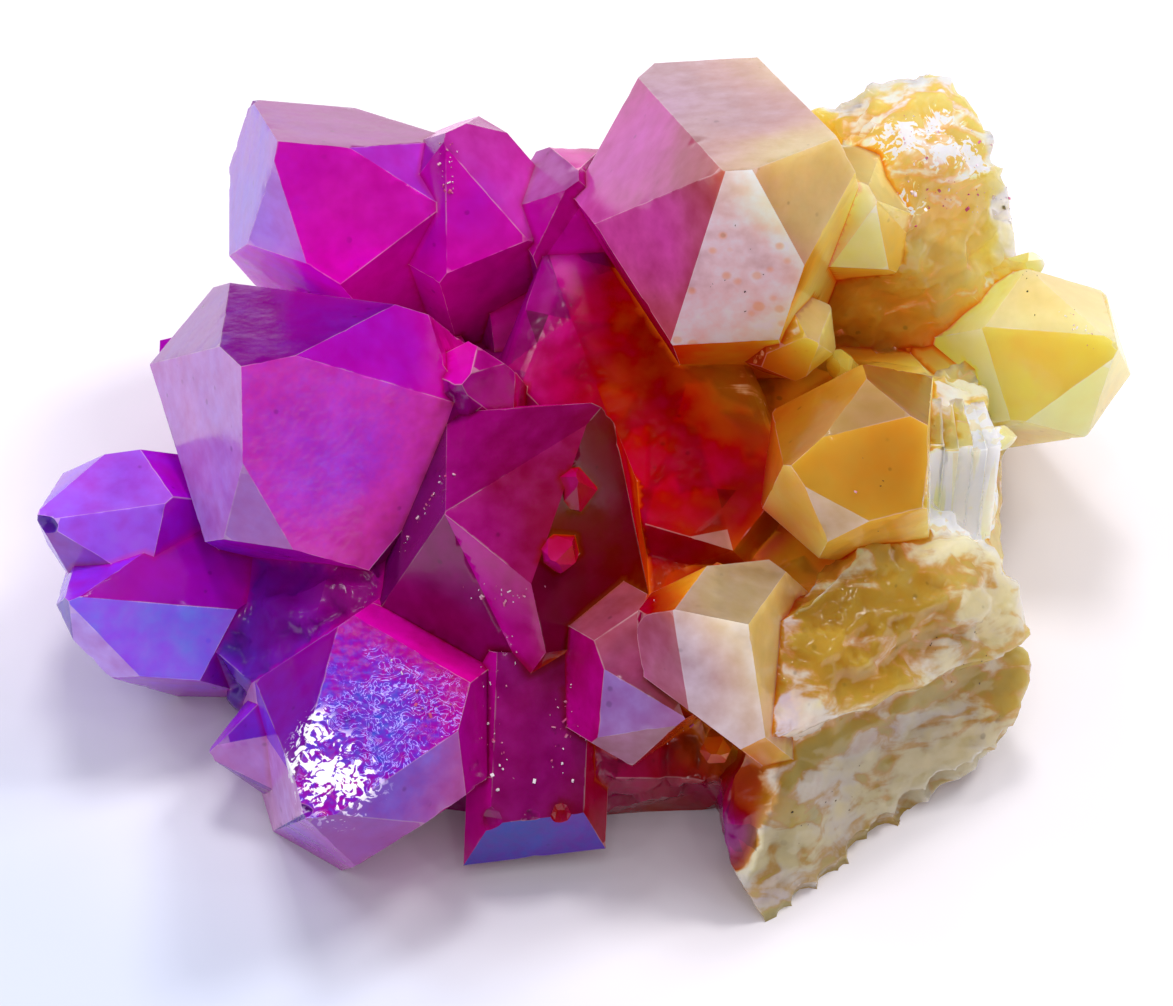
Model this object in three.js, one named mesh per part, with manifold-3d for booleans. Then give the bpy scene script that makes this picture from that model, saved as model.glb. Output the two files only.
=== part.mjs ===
// A cluster of quartz points grown together on one broken piece of vein quartz.
// Millimetres, +Z up, the cluster resting on the flat ground patch under its base.
import * as THREE from "three";
import { ConvexGeometry } from "three/addons/geometries/ConvexGeometry.js";
import { TessellateModifier } from "three/addons/modifiers/TessellateModifier.js";
import { mergeVertices } from "three/addons/utils/BufferGeometryUtils.js";
import Module from "manifold-3d";

const wasm = await Module();
wasm.setup();

// ---- The habit every quartz point shares -------------------------------------------------------
// Six side faces stand parallel to the long axis, and six end faces lean 51.8 degrees off it.
const SIDES = 6;
const END_FACE_LEAN = THREE.MathUtils.degToRad(51.8);

// ---- The points --------------------------------------------------------------------------------
// tip: where the end faces meet.  heading, rise: which way the point aims, in degrees.
// twist: turn about its own axis.  ends: how far each end face stands proud of the tip.
// girth: how far each side face stands from the axis.  length: from the tip down into the base.
// snap: a flat break across the point, where it has one.
const POINTS = {
  rearLeft: {
    tip: [-21.2, 22.1, 27.8], heading: -149, rise: 67, twist: -1, length: 27,
    ends: [0, 1.4, -0.4, 2.8, 0, 0.6], girth: [6.9, 8.9, 7.3, 10, 8.4, 6],
  },
  rearMiddle: {
    tip: [-9.1, 23.3, 25.6], heading: -134, rise: 79, twist: 35, length: 26,
    ends: [0, 1.3, 1, 1, 1, 0.6], girth: [5.1, 4.3, 6, 6, 6.7, 5.6],
  },
  rearGap: {
    tip: [-0.4, 21.3, 24], heading: -80, rise: 68, twist: 20, length: 24,
    ends: [0, 0.5, 0.2, 0.6, 0.1, 0.4], girth: [4.6, 4.2, 4.6, 4.6, 4.6, 4.6],
  },
  leftGreat: {
    tip: [-23.3, 0.5, 29.6], heading: -123, rise: 60, twist: -12, length: 30,
    ends: [0, 1.1, -0.6, 0.3, -0.7, 2], girth: [11.3, 10.9, 7.2, 10.2, 9, 10.4],
  },
  farLeft: {
    tip: [-34.5, -7.6, 14], heading: -136, rise: 54, twist: 69, length: 24,
    ends: [0, 0, 0.5, 0.2, 0, -0.3], girth: [22, 6.6, 6, 2.4, 4.4, 6.5],
  },
  farLeftShoulder: {
    tip: [-36.8, -1.2, 15], heading: -149, rise: 40, twist: 90, length: 18,
    ends: [0, 0.5, 0.5, 0.5, 0.4, 0.2], girth: [5.2, 4.4, 4.6, 4.6, 4.6, 5],
  },
  frontLeft: {
    tip: [-18.5, -23.4, 12.6], heading: -117, rise: 32, twist: 82, length: 26,
    ends: [0, 0.7, 0, 0.5, 0.8, 1.2], girth: [8.5, 8.6, 12.4, 9, 5.4, 7.9],
  },
  frontLeftLow: {
    tip: [-25.6, -14, 5.5], heading: -160, rise: 12, twist: 25, length: 14,
    ends: [0, 0.3, 0, 0.4, 0.1, 0.3], girth: [3.4, 3.2, 3.5, 3.4, 3.2, 3.4],
  },
  rearGreat: {
    tip: [8.6, 12.7, 35.2], heading: -105, rise: 64, twist: 105, length: 30,
    ends: [0, 0, 0.6, 1.4, 2.7, 4.4], girth: [12.7, 11, 8.4, 9.6, 7.5, 8],
  },
  rearGreatChild: {
    tip: [19.6, 16.2, 28.2], heading: -70, rise: 58, twist: 12, length: 20,
    ends: [0, 0.6, 0.9, 0.2, 0.5, 0.3], girth: [4.2, 4.4, 4, 4.4, 4.2, 4.6],
  },
  rearGreatFoot: {
    tip: [15.4, 8.4, 22.4], heading: -62, rise: 40, twist: 48, length: 14,
    ends: [0, 0.4, 0.6, 0.2, 0.5, 0.3], girth: [2.8, 3, 2.6, 3, 2.8, 3],
  },
  right: {
    tip: [36.6, 10.2, 20], heading: -45, rise: 47, twist: 104, length: 24,
    ends: [0.2, 0, 0.5, 0.1, -0.3, -0.3], girth: [5.8, 5.7, 5.7, 5, 4.6, 5],
  },
  rightFront: {
    tip: [13.4, -6.5, 27.7], heading: -140, rise: 44, twist: 31, length: 22,
    ends: [0, 0.8, -0.1, 0.5, 0.3, 0.8], girth: [5.8, 5.8, 6.5, 7, 6, 4.6],
    snap: { at: [23.2, 0, 18], heading: -4, rise: 4 },
  },
  frontRight: {
    tip: [4.7, -16, 22.8], heading: -136, rise: 62, twist: -27, length: 20,
    ends: [0, 3, 1.3, 0.5, 0.5, -0.7], girth: [6.9, 5.2, 7.9, 4, 2.6, 3.3],
  },
  frontMiddle: {
    tip: [6.4, -17.8, 15.8], heading: -55, rise: 29, twist: 155, length: 24,
    ends: [0, 0.7, 0.5, 0.5, -0.3, -0.3], girth: [3.6, 5, 5, 5, 5.4, 4.5],
  },
  frontWorn: {
    tip: [-4, -23.8, -2.8], heading: -93, rise: -42, twist: 86, length: 20,
    ends: [6, 6, 6, 6, 6, 6], girth: [3.8, 4.4, 4.4, -0.9, 4.2, 4.8],
    snap: { at: [-4, -19.8, 6], heading: -84, rise: 4 },
  },
  middle: {
    tip: [1.2, -0.4, 25.4], heading: 14, rise: 62, twist: 15, length: 24,
    ends: [0.6, 0.4, 0.8, 0, 0.4, 0], girth: [7, 7.4, 8, 10, 9, 7.4],
  },
  middleSmall: {
    tip: [-8.2, 3.4, 23.6], heading: -100, rise: 58, twist: 5, length: 14,
    ends: [0, 0.4, 0.1, 0.4, 0.2, 0.4], girth: [3, 2.8, 3.2, 3, 3.2, 3],
  },
  backLeft: {
    tip: [-30, 15.5, 13.5], heading: 152, rise: 22, twist: 40, length: 20,
    ends: [0, 0.5, 0.2, 0.6, 0.1, 0.5], girth: [5, 5.4, 5, 5.2, 5.6, 5],
  },
  backMiddle: {
    tip: [-3.5, 27.6, 11.5], heading: 98, rise: 24, twist: 12, length: 18,
    ends: [0, 0.6, 0.3, 0.5, 0.2, 0.4], girth: [5.2, 5, 5.4, 5, 5.2, 5],
  },
  backLow: {
    tip: [-15.4, 26.4, 8], heading: 118, rise: 8, twist: 33, length: 16,
    ends: [0, 0.3, 0.4, 0.2, 0.4, 0.3], girth: [3.8, 4, 3.6, 4, 3.8, 4],
  },
  backRight: {
    tip: [32.4, 19.4, 10.4], heading: 34, rise: 14, twist: 21, length: 18,
    ends: [0, 0.5, 0.2, 0.4, 0.3, 0.6], girth: [4.6, 4.8, 4.4, 5, 4.6, 4.8],
  },
};

// ---- The base ----------------------------------------------------------------------------------
// Corner points of the blunt lump the points grow from, widest a third of the way up.
const LUMP = [
  [-24, -8, -2], [-22, 8, -2], [-14, 18, -2], [4, 20, -2], [20, 20, -2], [27, 10, -2],
  [28, -4, -2], [20, -13, -2], [8, -15, -2], [-6, -16, -2], [-16, -14, -2],
  [-27, -6, 8], [-27, 10, 8], [-18, 20, 8], [0, 22, 8], [20, 24, 8], [30, 12, 8],
  [29, -5, 8], [20, -13, 8], [8, -17, 6], [-4, -17, 7], [-20, -13, 8],
  [-18, -5, 13], [-18, 10, 12], [-8, 16, 12], [12, 16, 13], [24, 13, 14],
  [25, -2, 13], [14, -11, 13], [-4, -11, 12],
];

// The smooth hollow in the middle, between the rear points and the middle one.
const VALLEY = [
  [-6, 12, 15], [-3, 20, 18.5], [4, 22, 19], [8.4, 18, 18], [12, 10, 16], [14, 2, 15.4],
  [10, -4, 14.6], [4, -2, 15], [-8, 14, 8], [0, 22, 8], [14, 12, 8], [14, -4, 8], [0, -4, 8],
];

// A low shoulder on the right, between the column, the right point and the rear stump.
const SHOULDER = [
  [21, 2.6, 19], [26, 2.6, 18.6], [22, 9, 18], [28, 8, 16.6], [28.2, 4, 13], [21, 1.8, 12],
  [29, 8, 8], [28, 0, 8], [20, 10, 8], [27, 14, 14],
];

// The broken mass behind on the right, a stump of several points snapped off short.
const REAR_STUMP = [
  [15.6, 27.4, 26], [19.8, 28.2, 27.4], [25.7, 28.6, 28], [27.2, 26.8, 27.6], [28.7, 24.3, 26],
  [29.9, 21.4, 23.6], [30.4, 20.2, 20], [31, 19.6, 17], [25.4, 16.5, 18.5], [20.9, 15.4, 22],
  [19.2, 18.4, 26.4], [22, 20.6, 29], [25, 21, 28.4], [16, 16, 14], [29, 22, 10],
  [26, 27, 8], [12, 27, 8], [14, 16, 8], [29, 15, 8],
];

// The broken corner in front on the right: a shelf low down and a mass that overhangs it.
const FRONT_SHELF = [
  [12.4, -24.8, -1.5], [10.6, -24, 2], [9.3, -22.5, 4], [8.9, -20.5, 7], [9.2, -19, 10],
  [18, -20.6, -1.5], [21.7, -16, 1], [24, -13.6, 2.4], [29.6, -11.4, 3.6], [30, -10, 6],
  [30.4, -7.6, 8.6], [12, -15.6, 12.6], [20, -11, 12.4], [27, -7, 11.4], [8, -12, -1.5],
  [28, -3, -1.5],
];
const FRONT_MASS = [
  [11.4, -19, 13.6], [14.4, -17, 12.2], [22.6, -11.8, 12.6], [28.4, -9.4, 9.8], [30.6, -7.6, 9.6],
  [30.2, -5.6, 12.2], [28.4, -3.6, 15], [24.2, -8.6, 16.2], [17.4, -7.6, 19], [12.2, -12.4, 18.2],
  [9.6, -15.6, 15.6], [14, -15, 7], [10, -8, 6], [28, -2, 6], [22, 2, 16],
];

// ---- Making the solids -------------------------------------------------------------------------
function aim(heading, rise) {
  const h = THREE.MathUtils.degToRad(heading);
  const r = THREE.MathUtils.degToRad(rise);
  return new THREE.Vector3(Math.cos(r) * Math.cos(h), Math.cos(r) * Math.sin(h), Math.sin(r));
}

// The corner where three faces cross, or null when they don't cross at one corner.
function corner(a, b, c) {
  const bc = new THREE.Vector3().crossVectors(b.normal, c.normal);
  const spread = a.normal.dot(bc);
  if (Math.abs(spread) < 1e-4) return null;
  const ca = new THREE.Vector3().crossVectors(c.normal, a.normal);
  const ab = new THREE.Vector3().crossVectors(a.normal, b.normal);
  return bc
    .multiplyScalar(-a.constant)
    .add(ca.multiplyScalar(-b.constant))
    .add(ab.multiplyScalar(-c.constant))
    .divideScalar(spread);
}

// The convex solid behind every one of the faces.
function bounded(faces) {
  const corners = [];
  for (let i = 0; i < faces.length; i += 1) {
    for (let j = i + 1; j < faces.length; j += 1) {
      for (let k = j + 1; k < faces.length; k += 1) {
        const p = corner(faces[i], faces[j], faces[k]);
        if (p === null) continue;
        const inside = faces.every((face) => face.distanceToPoint(p) < 1e-4);
        const known = corners.some((q) => q.distanceTo(p) < 1e-2);
        if (inside && !known) corners.push(p);
      }
    }
  }
  return new ConvexGeometry(corners);
}

function quartzPoint({ tip, heading, rise, twist, ends, girth, length, snap }) {
  const axis = aim(heading, rise);
  const level = aim(heading + 90, 0);
  const upward = new THREE.Vector3().crossVectors(axis, level);
  const at = new THREE.Vector3(...tip);
  const faces = [];
  const addFace = (normal, reach) => {
    faces.push(new THREE.Plane(normal, -(normal.dot(at) + reach)));
  };
  for (let side = 0; side < SIDES; side += 1) {
    const turn = THREE.MathUtils.degToRad(twist) + (side * 2 * Math.PI) / SIDES;
    const outward = level
      .clone()
      .multiplyScalar(Math.cos(turn))
      .addScaledVector(upward, Math.sin(turn));
    addFace(outward, girth[side]);
    const leaning = outward
      .clone()
      .multiplyScalar(Math.sin(END_FACE_LEAN))
      .addScaledVector(axis, Math.cos(END_FACE_LEAN));
    addFace(leaning, ends[side]);
  }
  addFace(axis.clone().negate(), length);
  if (snap) {
    const across = aim(snap.heading, snap.rise);
    faces.push(new THREE.Plane(across, -across.dot(new THREE.Vector3(...snap.at))));
  }
  return bounded(faces);
}

function solid(geometry) {
  const bare = geometry.clone();
  bare.deleteAttribute("normal");
  bare.deleteAttribute("uv");
  const merged = mergeVertices(bare, 1e-4);
  return new wasm.Manifold(
    new wasm.Mesh({
      numProp: 3,
      vertProperties: merged.attributes.position.array,
      triVerts: new Uint32Array(merged.index.array),
    }),
  );
}

function hull(points) {
  return new ConvexGeometry(points.map((p) => new THREE.Vector3(...p)));
}

function unite(solids) {
  return wasm.Manifold.union(solids);
}

// A short run of equal steps from one place to another.
function along(from, to, steps) {
  return Array.from({ length: steps }, (_, i) =>
    from.map((start, axis) => start + ((to[axis] - start) * i) / (steps - 1)),
  );
}

// An even scatter in 0 to 1 for whole-number places, the same on every run.
function scatter(x, y, z, salt) {
  const mixed = Math.sin(x * 12.99 + y * 78.23 + z * 37.72 + salt * 9.17) * 4375.85;
  return mixed - Math.floor(mixed);
}

// Depth of the shell-shaped hollows at a place: 1 at the heart of a hollow, 0 on the ridges.
function shells(place) {
  const home = place.clone().floor();
  const heart = new THREE.Vector3();
  let nearest = Infinity;
  for (let i = -1; i <= 1; i += 1) {
    for (let j = -1; j <= 1; j += 1) {
      for (let k = -1; k <= 1; k += 1) {
        const [x, y, z] = [home.x + i, home.y + j, home.z + k];
        heart.set(x + scatter(x, y, z, 1), y + scatter(x, y, z, 2), z + scatter(x, y, z, 3));
        nearest = Math.min(nearest, heart.distanceToSquared(place));
      }
    }
  }
  return Math.max(0, 1 - nearest);
}

// A blunt mass with the surface quartz has where it breaks. facet: size of its facets.
// relief: depth of the hollows.  width: their width.  drawn: how far they are drawn out along
// a heading, as folds are.
function broken({ corners, facet, relief, width, heading = 0, drawn = 1 }) {
  const middle = new THREE.Vector3();
  corners.forEach(([x, y, z]) => middle.add(new THREE.Vector3(x, y, z)));
  middle.divideScalar(corners.length);
  const skin = new TessellateModifier(facet, 12).modify(hull(corners));
  const place = skin.attributes.position;
  const turn = THREE.MathUtils.degToRad(-heading);
  const up = new THREE.Vector3(0, 0, 1);
  for (let i = 0; i < place.count; i += 1) {
    const spot = new THREE.Vector3().fromBufferAttribute(place, i);
    const outward = spot.clone().sub(middle).normalize();
    const grain = spot.clone().applyAxisAngle(up, turn).divide(new THREE.Vector3(drawn, 1, 1));
    const coarse = shells(grain.clone().divideScalar(width));
    const fine = shells(grain.divideScalar(width * 0.45));
    spot.addScaledVector(outward, relief * (0.3 - 0.75 * coarse - 0.25 * fine));
    place.setXYZ(i, spot.x, spot.y, spot.z);
  }
  return solid(skin);
}

// ---- Building up -------------------------------------------------------------------------------
const points = Object.values(POINTS).map((point) => solid(quartzPoint(point)));
const lump = broken({ corners: LUMP, facet: 4, relief: 1, width: 9 });
const valley = broken({ corners: VALLEY, facet: 3, relief: 0.6, width: 8 });
const shoulder = broken({ corners: SHOULDER, facet: 2.4, relief: 0.8, width: 3 });
const stump = broken({ corners: REAR_STUMP, facet: 1.9, relief: 1.6, width: 4 });
const shelf = broken({ corners: FRONT_SHELF, facet: 2, relief: 1.1, width: 4 });
const mass = broken({
  corners: FRONT_MASS, facet: 1.8, relief: 1.5, width: 2.8, heading: 26, drawn: 2.6,
});

// The broad smooth hollow in the shelf's front, and the bites along its foot.
const BROAD = 24;
const hollow = solid(new THREE.IcosahedronGeometry(BROAD, 15).translate(31, -34, 14.4));
const scallops = [
  ...along([13.4, -23.8, 0.2], [20.4, -17.6, 0.6], 6),
  ...along([22, -15.8, 1.2], [29, -11.8, 3.4], 5),
].map(([x, y, z], i) => {
  const bite = new THREE.IcosahedronGeometry(0.7 + 1.1 * scatter(i, 0, 0, 4), 1);
  return solid(bite.rotateX(i).translate(x + scatter(i, 0, 0, 5), y, z));
});

// The column beside the right front point: thin upright plates grown side by side.
const COLUMN_PLATES = 5;
const plates = Array.from({ length: COLUMN_PLATES }, (_, i) => {
  const proud = i % 2 === 0 ? 0 : 0.35;
  return solid(
    new THREE.BoxGeometry(0.95, 4, 15 - i * 0.5)
      .rotateZ(0.06 * i)
      .translate(23.5 + 0.86 * i, 2.2 - proud + 0.15 * i, 13.6),
  );
});

// Specks of young quartz grown in the hollows between the big points.
const YOUNG = [
  { tip: [19.4, 8.4, 17.2], size: 0.9, heading: -100, rise: 55 },
  { tip: [17.2, 10.6, 17.6], size: 0.8, heading: -120, rise: 60 },
  { tip: [21.6, 9.2, 17], size: 0.7, heading: -60, rise: 62 },
  { tip: [29, 2.4, 19.2], size: 0.8, heading: -20, rise: 30 },
  { tip: [8.8, -6.4, 15.6], size: 0.7, heading: -95, rise: 58 },
  { tip: [10.4, -8.4, 15.8], size: 0.6, heading: -140, rise: 50 },
  { tip: [8.4, -18.4, 11.6], size: 0.9, heading: -100, rise: 40 },
  { tip: [-0.6, -4.9, 23.8], size: 1.7, heading: -62, rise: 58 },
  { tip: [-2.2, -9.2, 20.6], size: 1.2, heading: -100, rise: 34 },
  { tip: [32, 18.6, 18.6], size: 0.8, heading: -10, rise: 30 },
];
const young = YOUNG.map(({ tip, size, heading, rise }, i) => {
  const girth = Array.from({ length: SIDES }, () => size);
  const ends = girth.map((_, side) => 0.12 * ((side * 2 + i) % 3));
  return solid(quartzPoint({ tip, heading, rise, twist: 17 * i, length: 6, ends, girth }));
});

const foot = shelf.subtract(unite([hollow, ...scallops]));
let cluster = unite([...points, lump, valley, shoulder, stump, foot, mass, ...plates, ...young]);

// ---- Breaking away -----------------------------------------------------------------------------
// The back was snapped off the vein wall: three uneven flats, each a great slab taken away.
const BACK_BREAK = [
  { at: [-10, 31.4, 14], heading: 97, rise: -6 },
  { at: [12, 31.2, 20], heading: 86, rise: 2 },
  { at: [0, 28.6, 2], heading: 92, rise: -30 },
];
const slabs = BACK_BREAK.map(({ at, heading, rise }) => {
  const outward = aim(heading, rise);
  const turn = new THREE.Quaternion().setFromUnitVectors(new THREE.Vector3(0, 0, 1), outward);
  const slab = new THREE.BoxGeometry(140, 140, 30).translate(0, 0, 15).applyQuaternion(turn);
  return solid(slab.translate(...at));
});

// Knocks on the edges and tips of the points, and the bites along the worn point's end.
const KNOCKS = [
  { at: [-15.2, 28.6, 26.4], size: 0.9 },
  { at: [-12.9, 26.2, 25.9], size: 0.7 },
  { at: [-23.6, 25.4, 26.8], size: 0.7 },
  { at: [-37.2, -2, 14.7], size: 1.2 },
  { at: [-35.2, -6.6, 14.8], size: 1 },
  { at: [-23.9, 0.2, 30], size: 0.7 },
  { at: [-18.6, -23.6, 12.9], size: 0.7 },
  { at: [36.2, 9.8, 20.3], size: 0.7 },
  { at: [-6.6, -20.1, 6.2], size: 1.2 },
  { at: [-4, -20.4, 6.9], size: 1.4 },
  { at: [-1.7, -20, 6.1], size: 1 },
];
const knocks = KNOCKS.map(({ at, size }, i) => {
  const knock = new THREE.IcosahedronGeometry(size, 1).scale(1.3, 0.8, 0.9);
  return solid(knock.rotateZ(1.1 * i).rotateX(0.7 * i).translate(...at));
});

cluster = cluster.subtract(unite([...slabs, ...knocks]));

// ---- The flat ground patch and the frame -------------------------------------------------------
const below = solid(new THREE.BoxGeometry(200, 200, 60).translate(0, 0, -30));
cluster = cluster.subtract(below);
const box = cluster.boundingBox();
const middleX = (box.min[0] + box.max[0]) / 2;
const middleY = (box.min[1] + box.max[1]) / 2;
cluster = cluster.translate([-middleX, -middleY, 0]);

const shape = cluster.getMesh();
const geometry = new THREE.BufferGeometry();
geometry.setAttribute("position", new THREE.BufferAttribute(shape.vertProperties, 3));
geometry.setIndex(new THREE.BufferAttribute(shape.triVerts, 1));

const coated = new THREE.MeshStandardMaterial({ color: 0xa0308c, roughness: 0.1, metalness: 0.1 });
const mesh = new THREE.Mesh(geometry, coated);
mesh.name = "quartz_cluster";

const group = new THREE.Group();
group.name = "quartz_cluster_part";
group.add(mesh);
export default group;
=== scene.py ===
import math

import bmesh
import bpy
import numpy as np
from mathutils import Matrix, Vector, noise
from mathutils.bvhtree import BVHTree


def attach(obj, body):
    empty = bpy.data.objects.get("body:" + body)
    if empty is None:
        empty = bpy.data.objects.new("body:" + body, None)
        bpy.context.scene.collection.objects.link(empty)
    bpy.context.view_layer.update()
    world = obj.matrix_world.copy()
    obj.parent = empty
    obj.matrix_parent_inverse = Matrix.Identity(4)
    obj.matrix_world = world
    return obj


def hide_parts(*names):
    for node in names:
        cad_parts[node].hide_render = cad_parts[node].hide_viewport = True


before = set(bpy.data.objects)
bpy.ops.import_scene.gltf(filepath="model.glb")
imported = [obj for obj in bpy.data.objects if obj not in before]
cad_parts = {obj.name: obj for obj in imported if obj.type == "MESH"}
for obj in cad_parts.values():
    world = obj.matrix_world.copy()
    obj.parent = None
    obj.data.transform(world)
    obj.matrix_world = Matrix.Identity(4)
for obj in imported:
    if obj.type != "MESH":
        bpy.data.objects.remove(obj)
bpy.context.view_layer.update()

# ---- The camera ------------------------------------------------------------------------------
# A long lens close over the table looks down on the cluster from the front, with the points
# that carry the violet coating on the left and the straw-coloured ones on the right.
MM = 0.001
AIM = Vector((-0.438, -3.994, 15.0)) * MM
CAMERA_RISE = math.radians(52)
CAMERA_DISTANCE = 300 * MM
SENSOR_WIDTH = 36
LENS = 135.4
camera_data = bpy.data.cameras.new("camera")
camera_data.sensor_width = SENSOR_WIDTH
camera_data.lens = LENS
camera_data.clip_start = 10 * MM
camera = bpy.data.objects.new("camera", camera_data)
back_off = Vector((0, -math.cos(CAMERA_RISE), math.sin(CAMERA_RISE)))
camera.location = AIM + CAMERA_DISTANCE * back_off
camera.rotation_euler = back_off.to_track_quat("Z", "Y").to_euler()
bpy.context.scene.collection.objects.link(camera)
bpy.context.scene.camera = camera
bpy.context.scene.view_settings.view_transform = "Standard"
# Light is followed for a few turns only, because what it adds after them is too faint to see.
bounces = bpy.context.scene.cycles
bounces.diffuse_bounces = 2
bounces.glossy_bounces = 3
bounces.transmission_bounces = 4
bounces.max_bounces = 6

# ---- The table and the light -----------------------------------------------------------------
# A white laminate table top in an evenly lit room, under three softboxes high and behind the
# cluster. Softboxes and room are kept out of reflections; ten small lamps make the glints.
TABLE_SIDE = 4.0
TABLE_ROUGHNESS = 0.75
ROOM = (0.53, 0.51, 0.57, 1)
WHITE = (0.88, 0.86, 0.89, 1)
# A faint blue painted shade lies on the table in front on the left. It comes in over BLUE_FROM
# to BLUE_TO, leaning by BLUE_LEAN towards the left, and fades out over NEAR_FROM to NEAR_TO.
PAINTED_BLUE_SHADE = (0.64, 0.70, 0.82, 1)
BLUE_FROM, BLUE_TO = -0.024, -0.052
BLUE_LEAN = 0.6
NEAR_FROM, NEAR_TO = 0.052, 0.085


class Wire:
    """A value on its way through a shader. Arithmetic on it adds Math nodes."""

    def __init__(self, tree, socket):
        self.tree = tree
        self.socket = socket

    def node(self, kind, settings, values, out=0):
        made = self.tree.nodes.new("ShaderNode" + kind)
        for name, setting in settings.items():
            if name == "stops":
                band = made.color_ramp
                while len(band.elements) < len(setting):
                    band.elements.new(1.0)
                for element, (position, colour) in zip(band.elements, setting):
                    element.position = position
                    element.color = (*colour, 1)
            else:
                setattr(made, name, setting)
        for name, value in values.items():
            if isinstance(value, Wire):
                self.tree.links.new(value.socket, made.inputs[name])
            else:
                made.inputs[name].default_value = value
        return None if out is None else Wire(self.tree, made.outputs[out])

    def maths(self, operation, first, second=0.0):
        return self.node("Math", {"operation": operation}, {0: first, 1: second})

    def between(self, low, high):
        """0 below low, 1 above high, and smooth on the way."""
        return self.node("MapRange", {"interpolation_type": "SMOOTHSTEP"},
                         {"Value": self, "From Min": low, "From Max": high})

    def blend(self, first, second):
        """The first colour where this is 0, and the second where it is 1."""
        return self.node("Mix", {"data_type": "RGBA"}, {0: self, 6: first, 7: second}, 2)

    def __add__(self, other):
        return self.maths("ADD", self, other)

    __radd__ = __add__

    def __sub__(self, other):
        return self.maths("SUBTRACT", self, other)

    def __rsub__(self, other):
        return self.maths("SUBTRACT", other, self)

    def __mul__(self, other):
        return self.maths("MULTIPLY", self, other)

    __rmul__ = __mul__


table_shape = bmesh.new()
bmesh.ops.create_grid(table_shape, x_segments=1, y_segments=1, size=TABLE_SIDE / 2)
table_mesh = bpy.data.meshes.new("table")
table_shape.to_mesh(table_mesh)
table = bpy.data.objects.new("table", table_mesh)
bpy.context.scene.collection.objects.link(table)
laminate = bpy.data.materials.new("white_laminate")
laminate.use_nodes = True
laminate.node_tree.nodes.clear()
start = Wire(laminate.node_tree, None)
where = start.node("TexCoord", {}, {}, "Object")
aside = start.node("SeparateXYZ", {}, {"Vector": where}, "X")
away = start.node("SeparateXYZ", {}, {"Vector": where}, "Y")
reach = start.node("VectorMath", {"operation": "LENGTH"}, {0: where}, "Value")
# Painted shade: the table's colour turns blue and darker in front on the left.
painted_blue_shade = (away + BLUE_LEAN * aside).between(BLUE_FROM, BLUE_TO) * reach.between(NEAR_TO, NEAR_FROM)
top = start.node("BsdfPrincipled", {}, {
    "Base Color": painted_blue_shade.blend(WHITE, PAINTED_BLUE_SHADE), "Roughness": TABLE_ROUGHNESS,
})
start.node("OutputMaterial", {}, {"Surface": top}, None)
table_mesh.materials.append(laminate)

world = bpy.data.worlds.new("room")
world.use_nodes = True
world.node_tree.nodes["Background"].inputs["Color"].default_value = ROOM
world.cycles_visibility.glossy = False
bpy.context.scene.world = world


def lamp(name, heading, height, distance, side, power, colour, mirrored):
    """A square light that looks at the cluster from a heading and height in degrees."""
    light = bpy.data.lights.new(name, "AREA")
    light.shape = "SQUARE"
    light.size = side
    light.energy = power
    light.color = colour
    turn, lift = math.radians(heading), math.radians(height)
    flat = math.cos(lift)
    out = Vector((math.cos(turn) * flat, math.sin(turn) * flat, math.sin(lift)))
    holder = bpy.data.objects.new(name, light)
    holder.location = out * distance
    holder.rotation_euler = out.to_track_quat("Z", "Y").to_euler()
    holder.visible_glossy = mirrored
    bpy.context.scene.collection.objects.link(holder)


# Softboxes and glints: heading, height, distance, and for a softbox its power and its colour.
SOFTBOX_SIDE = 0.22
SOFTBOXES = {
    "over": (90, 66, 0.9, 2.6, (1.0, 0.98, 1.0)),
    "right": (32, 50, 1.0, 3.6, (1.0, 0.97, 0.94)),
    "left": (146, 48, 1.0, 1.6, (0.90, 0.94, 1.0)),
}
for side, (heading, height, distance, power, colour) in SOFTBOXES.items():
    lamp(f"softbox_{side}", heading, height, distance, SOFTBOX_SIDE, power, colour, False)
GLINT_DISTANCE = 0.9
GLINT_SIDE = 0.05
GLINT_POWER = 0.16
GLINTS = (
    (90, 66), (60, 50), (130, 48), (20, 62), (165, 60), (205, 50), (250, 66), (300, 58),
    (340, 46), (280, 82),
)
for number, (heading, height) in enumerate(GLINTS):
    lamp(f"glint_{number}", heading, height, GLINT_DISTANCE, GLINT_SIDE, GLINT_POWER,
         (1.0, 1.0, 1.0), True)

# ---- The cluster -----------------------------------------------------------------------------
# One piece of rock quartz: two dozen points grown together on a broken lump of vein quartz.
# Its faces grew flat, its edges are worn, and the lump shows the shells and pits of its breaks.
FLAT = 0.01
WELD = 0.001
TINY = 1e-9
GROUND = 0.02
FINEST_EDGE = 0.7
GROUND_EDGE = 2.5
# A face over GROWN_FACE square millimetres grew, and one under BROKEN_FACE is part of a break.
GROWN_FACE = 5.0
BROKEN_FACE = 2.0
# The young points: where each one's tip is, and half its width. They are small but not broken.
YOUNG_POINTS = (
    (-1.0, -8.9, 23.8, 1.7), (-2.6, -13.2, 20.6, 1.2), (19.0, 4.4, 17.2, 0.9),
    (16.8, 6.6, 17.6, 0.8), (21.2, 5.2, 17.0, 0.7), (28.6, -1.6, 19.2, 0.8),
    (8.4, -10.4, 15.6, 0.7), (10.0, -12.4, 15.8, 0.6), (8.0, -22.4, 11.6, 0.9),
    (31.6, 14.6, 18.6, 0.8), (-6.8, -23.4, 5.6, 0.6), (-2.2, -23.1, 5.9, 0.6),
)
YOUNG_REACH = 2.4
CREASE = math.radians(12)
BROKEN_CREASE = math.radians(38)
WORN_BEND = 0.6

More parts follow.
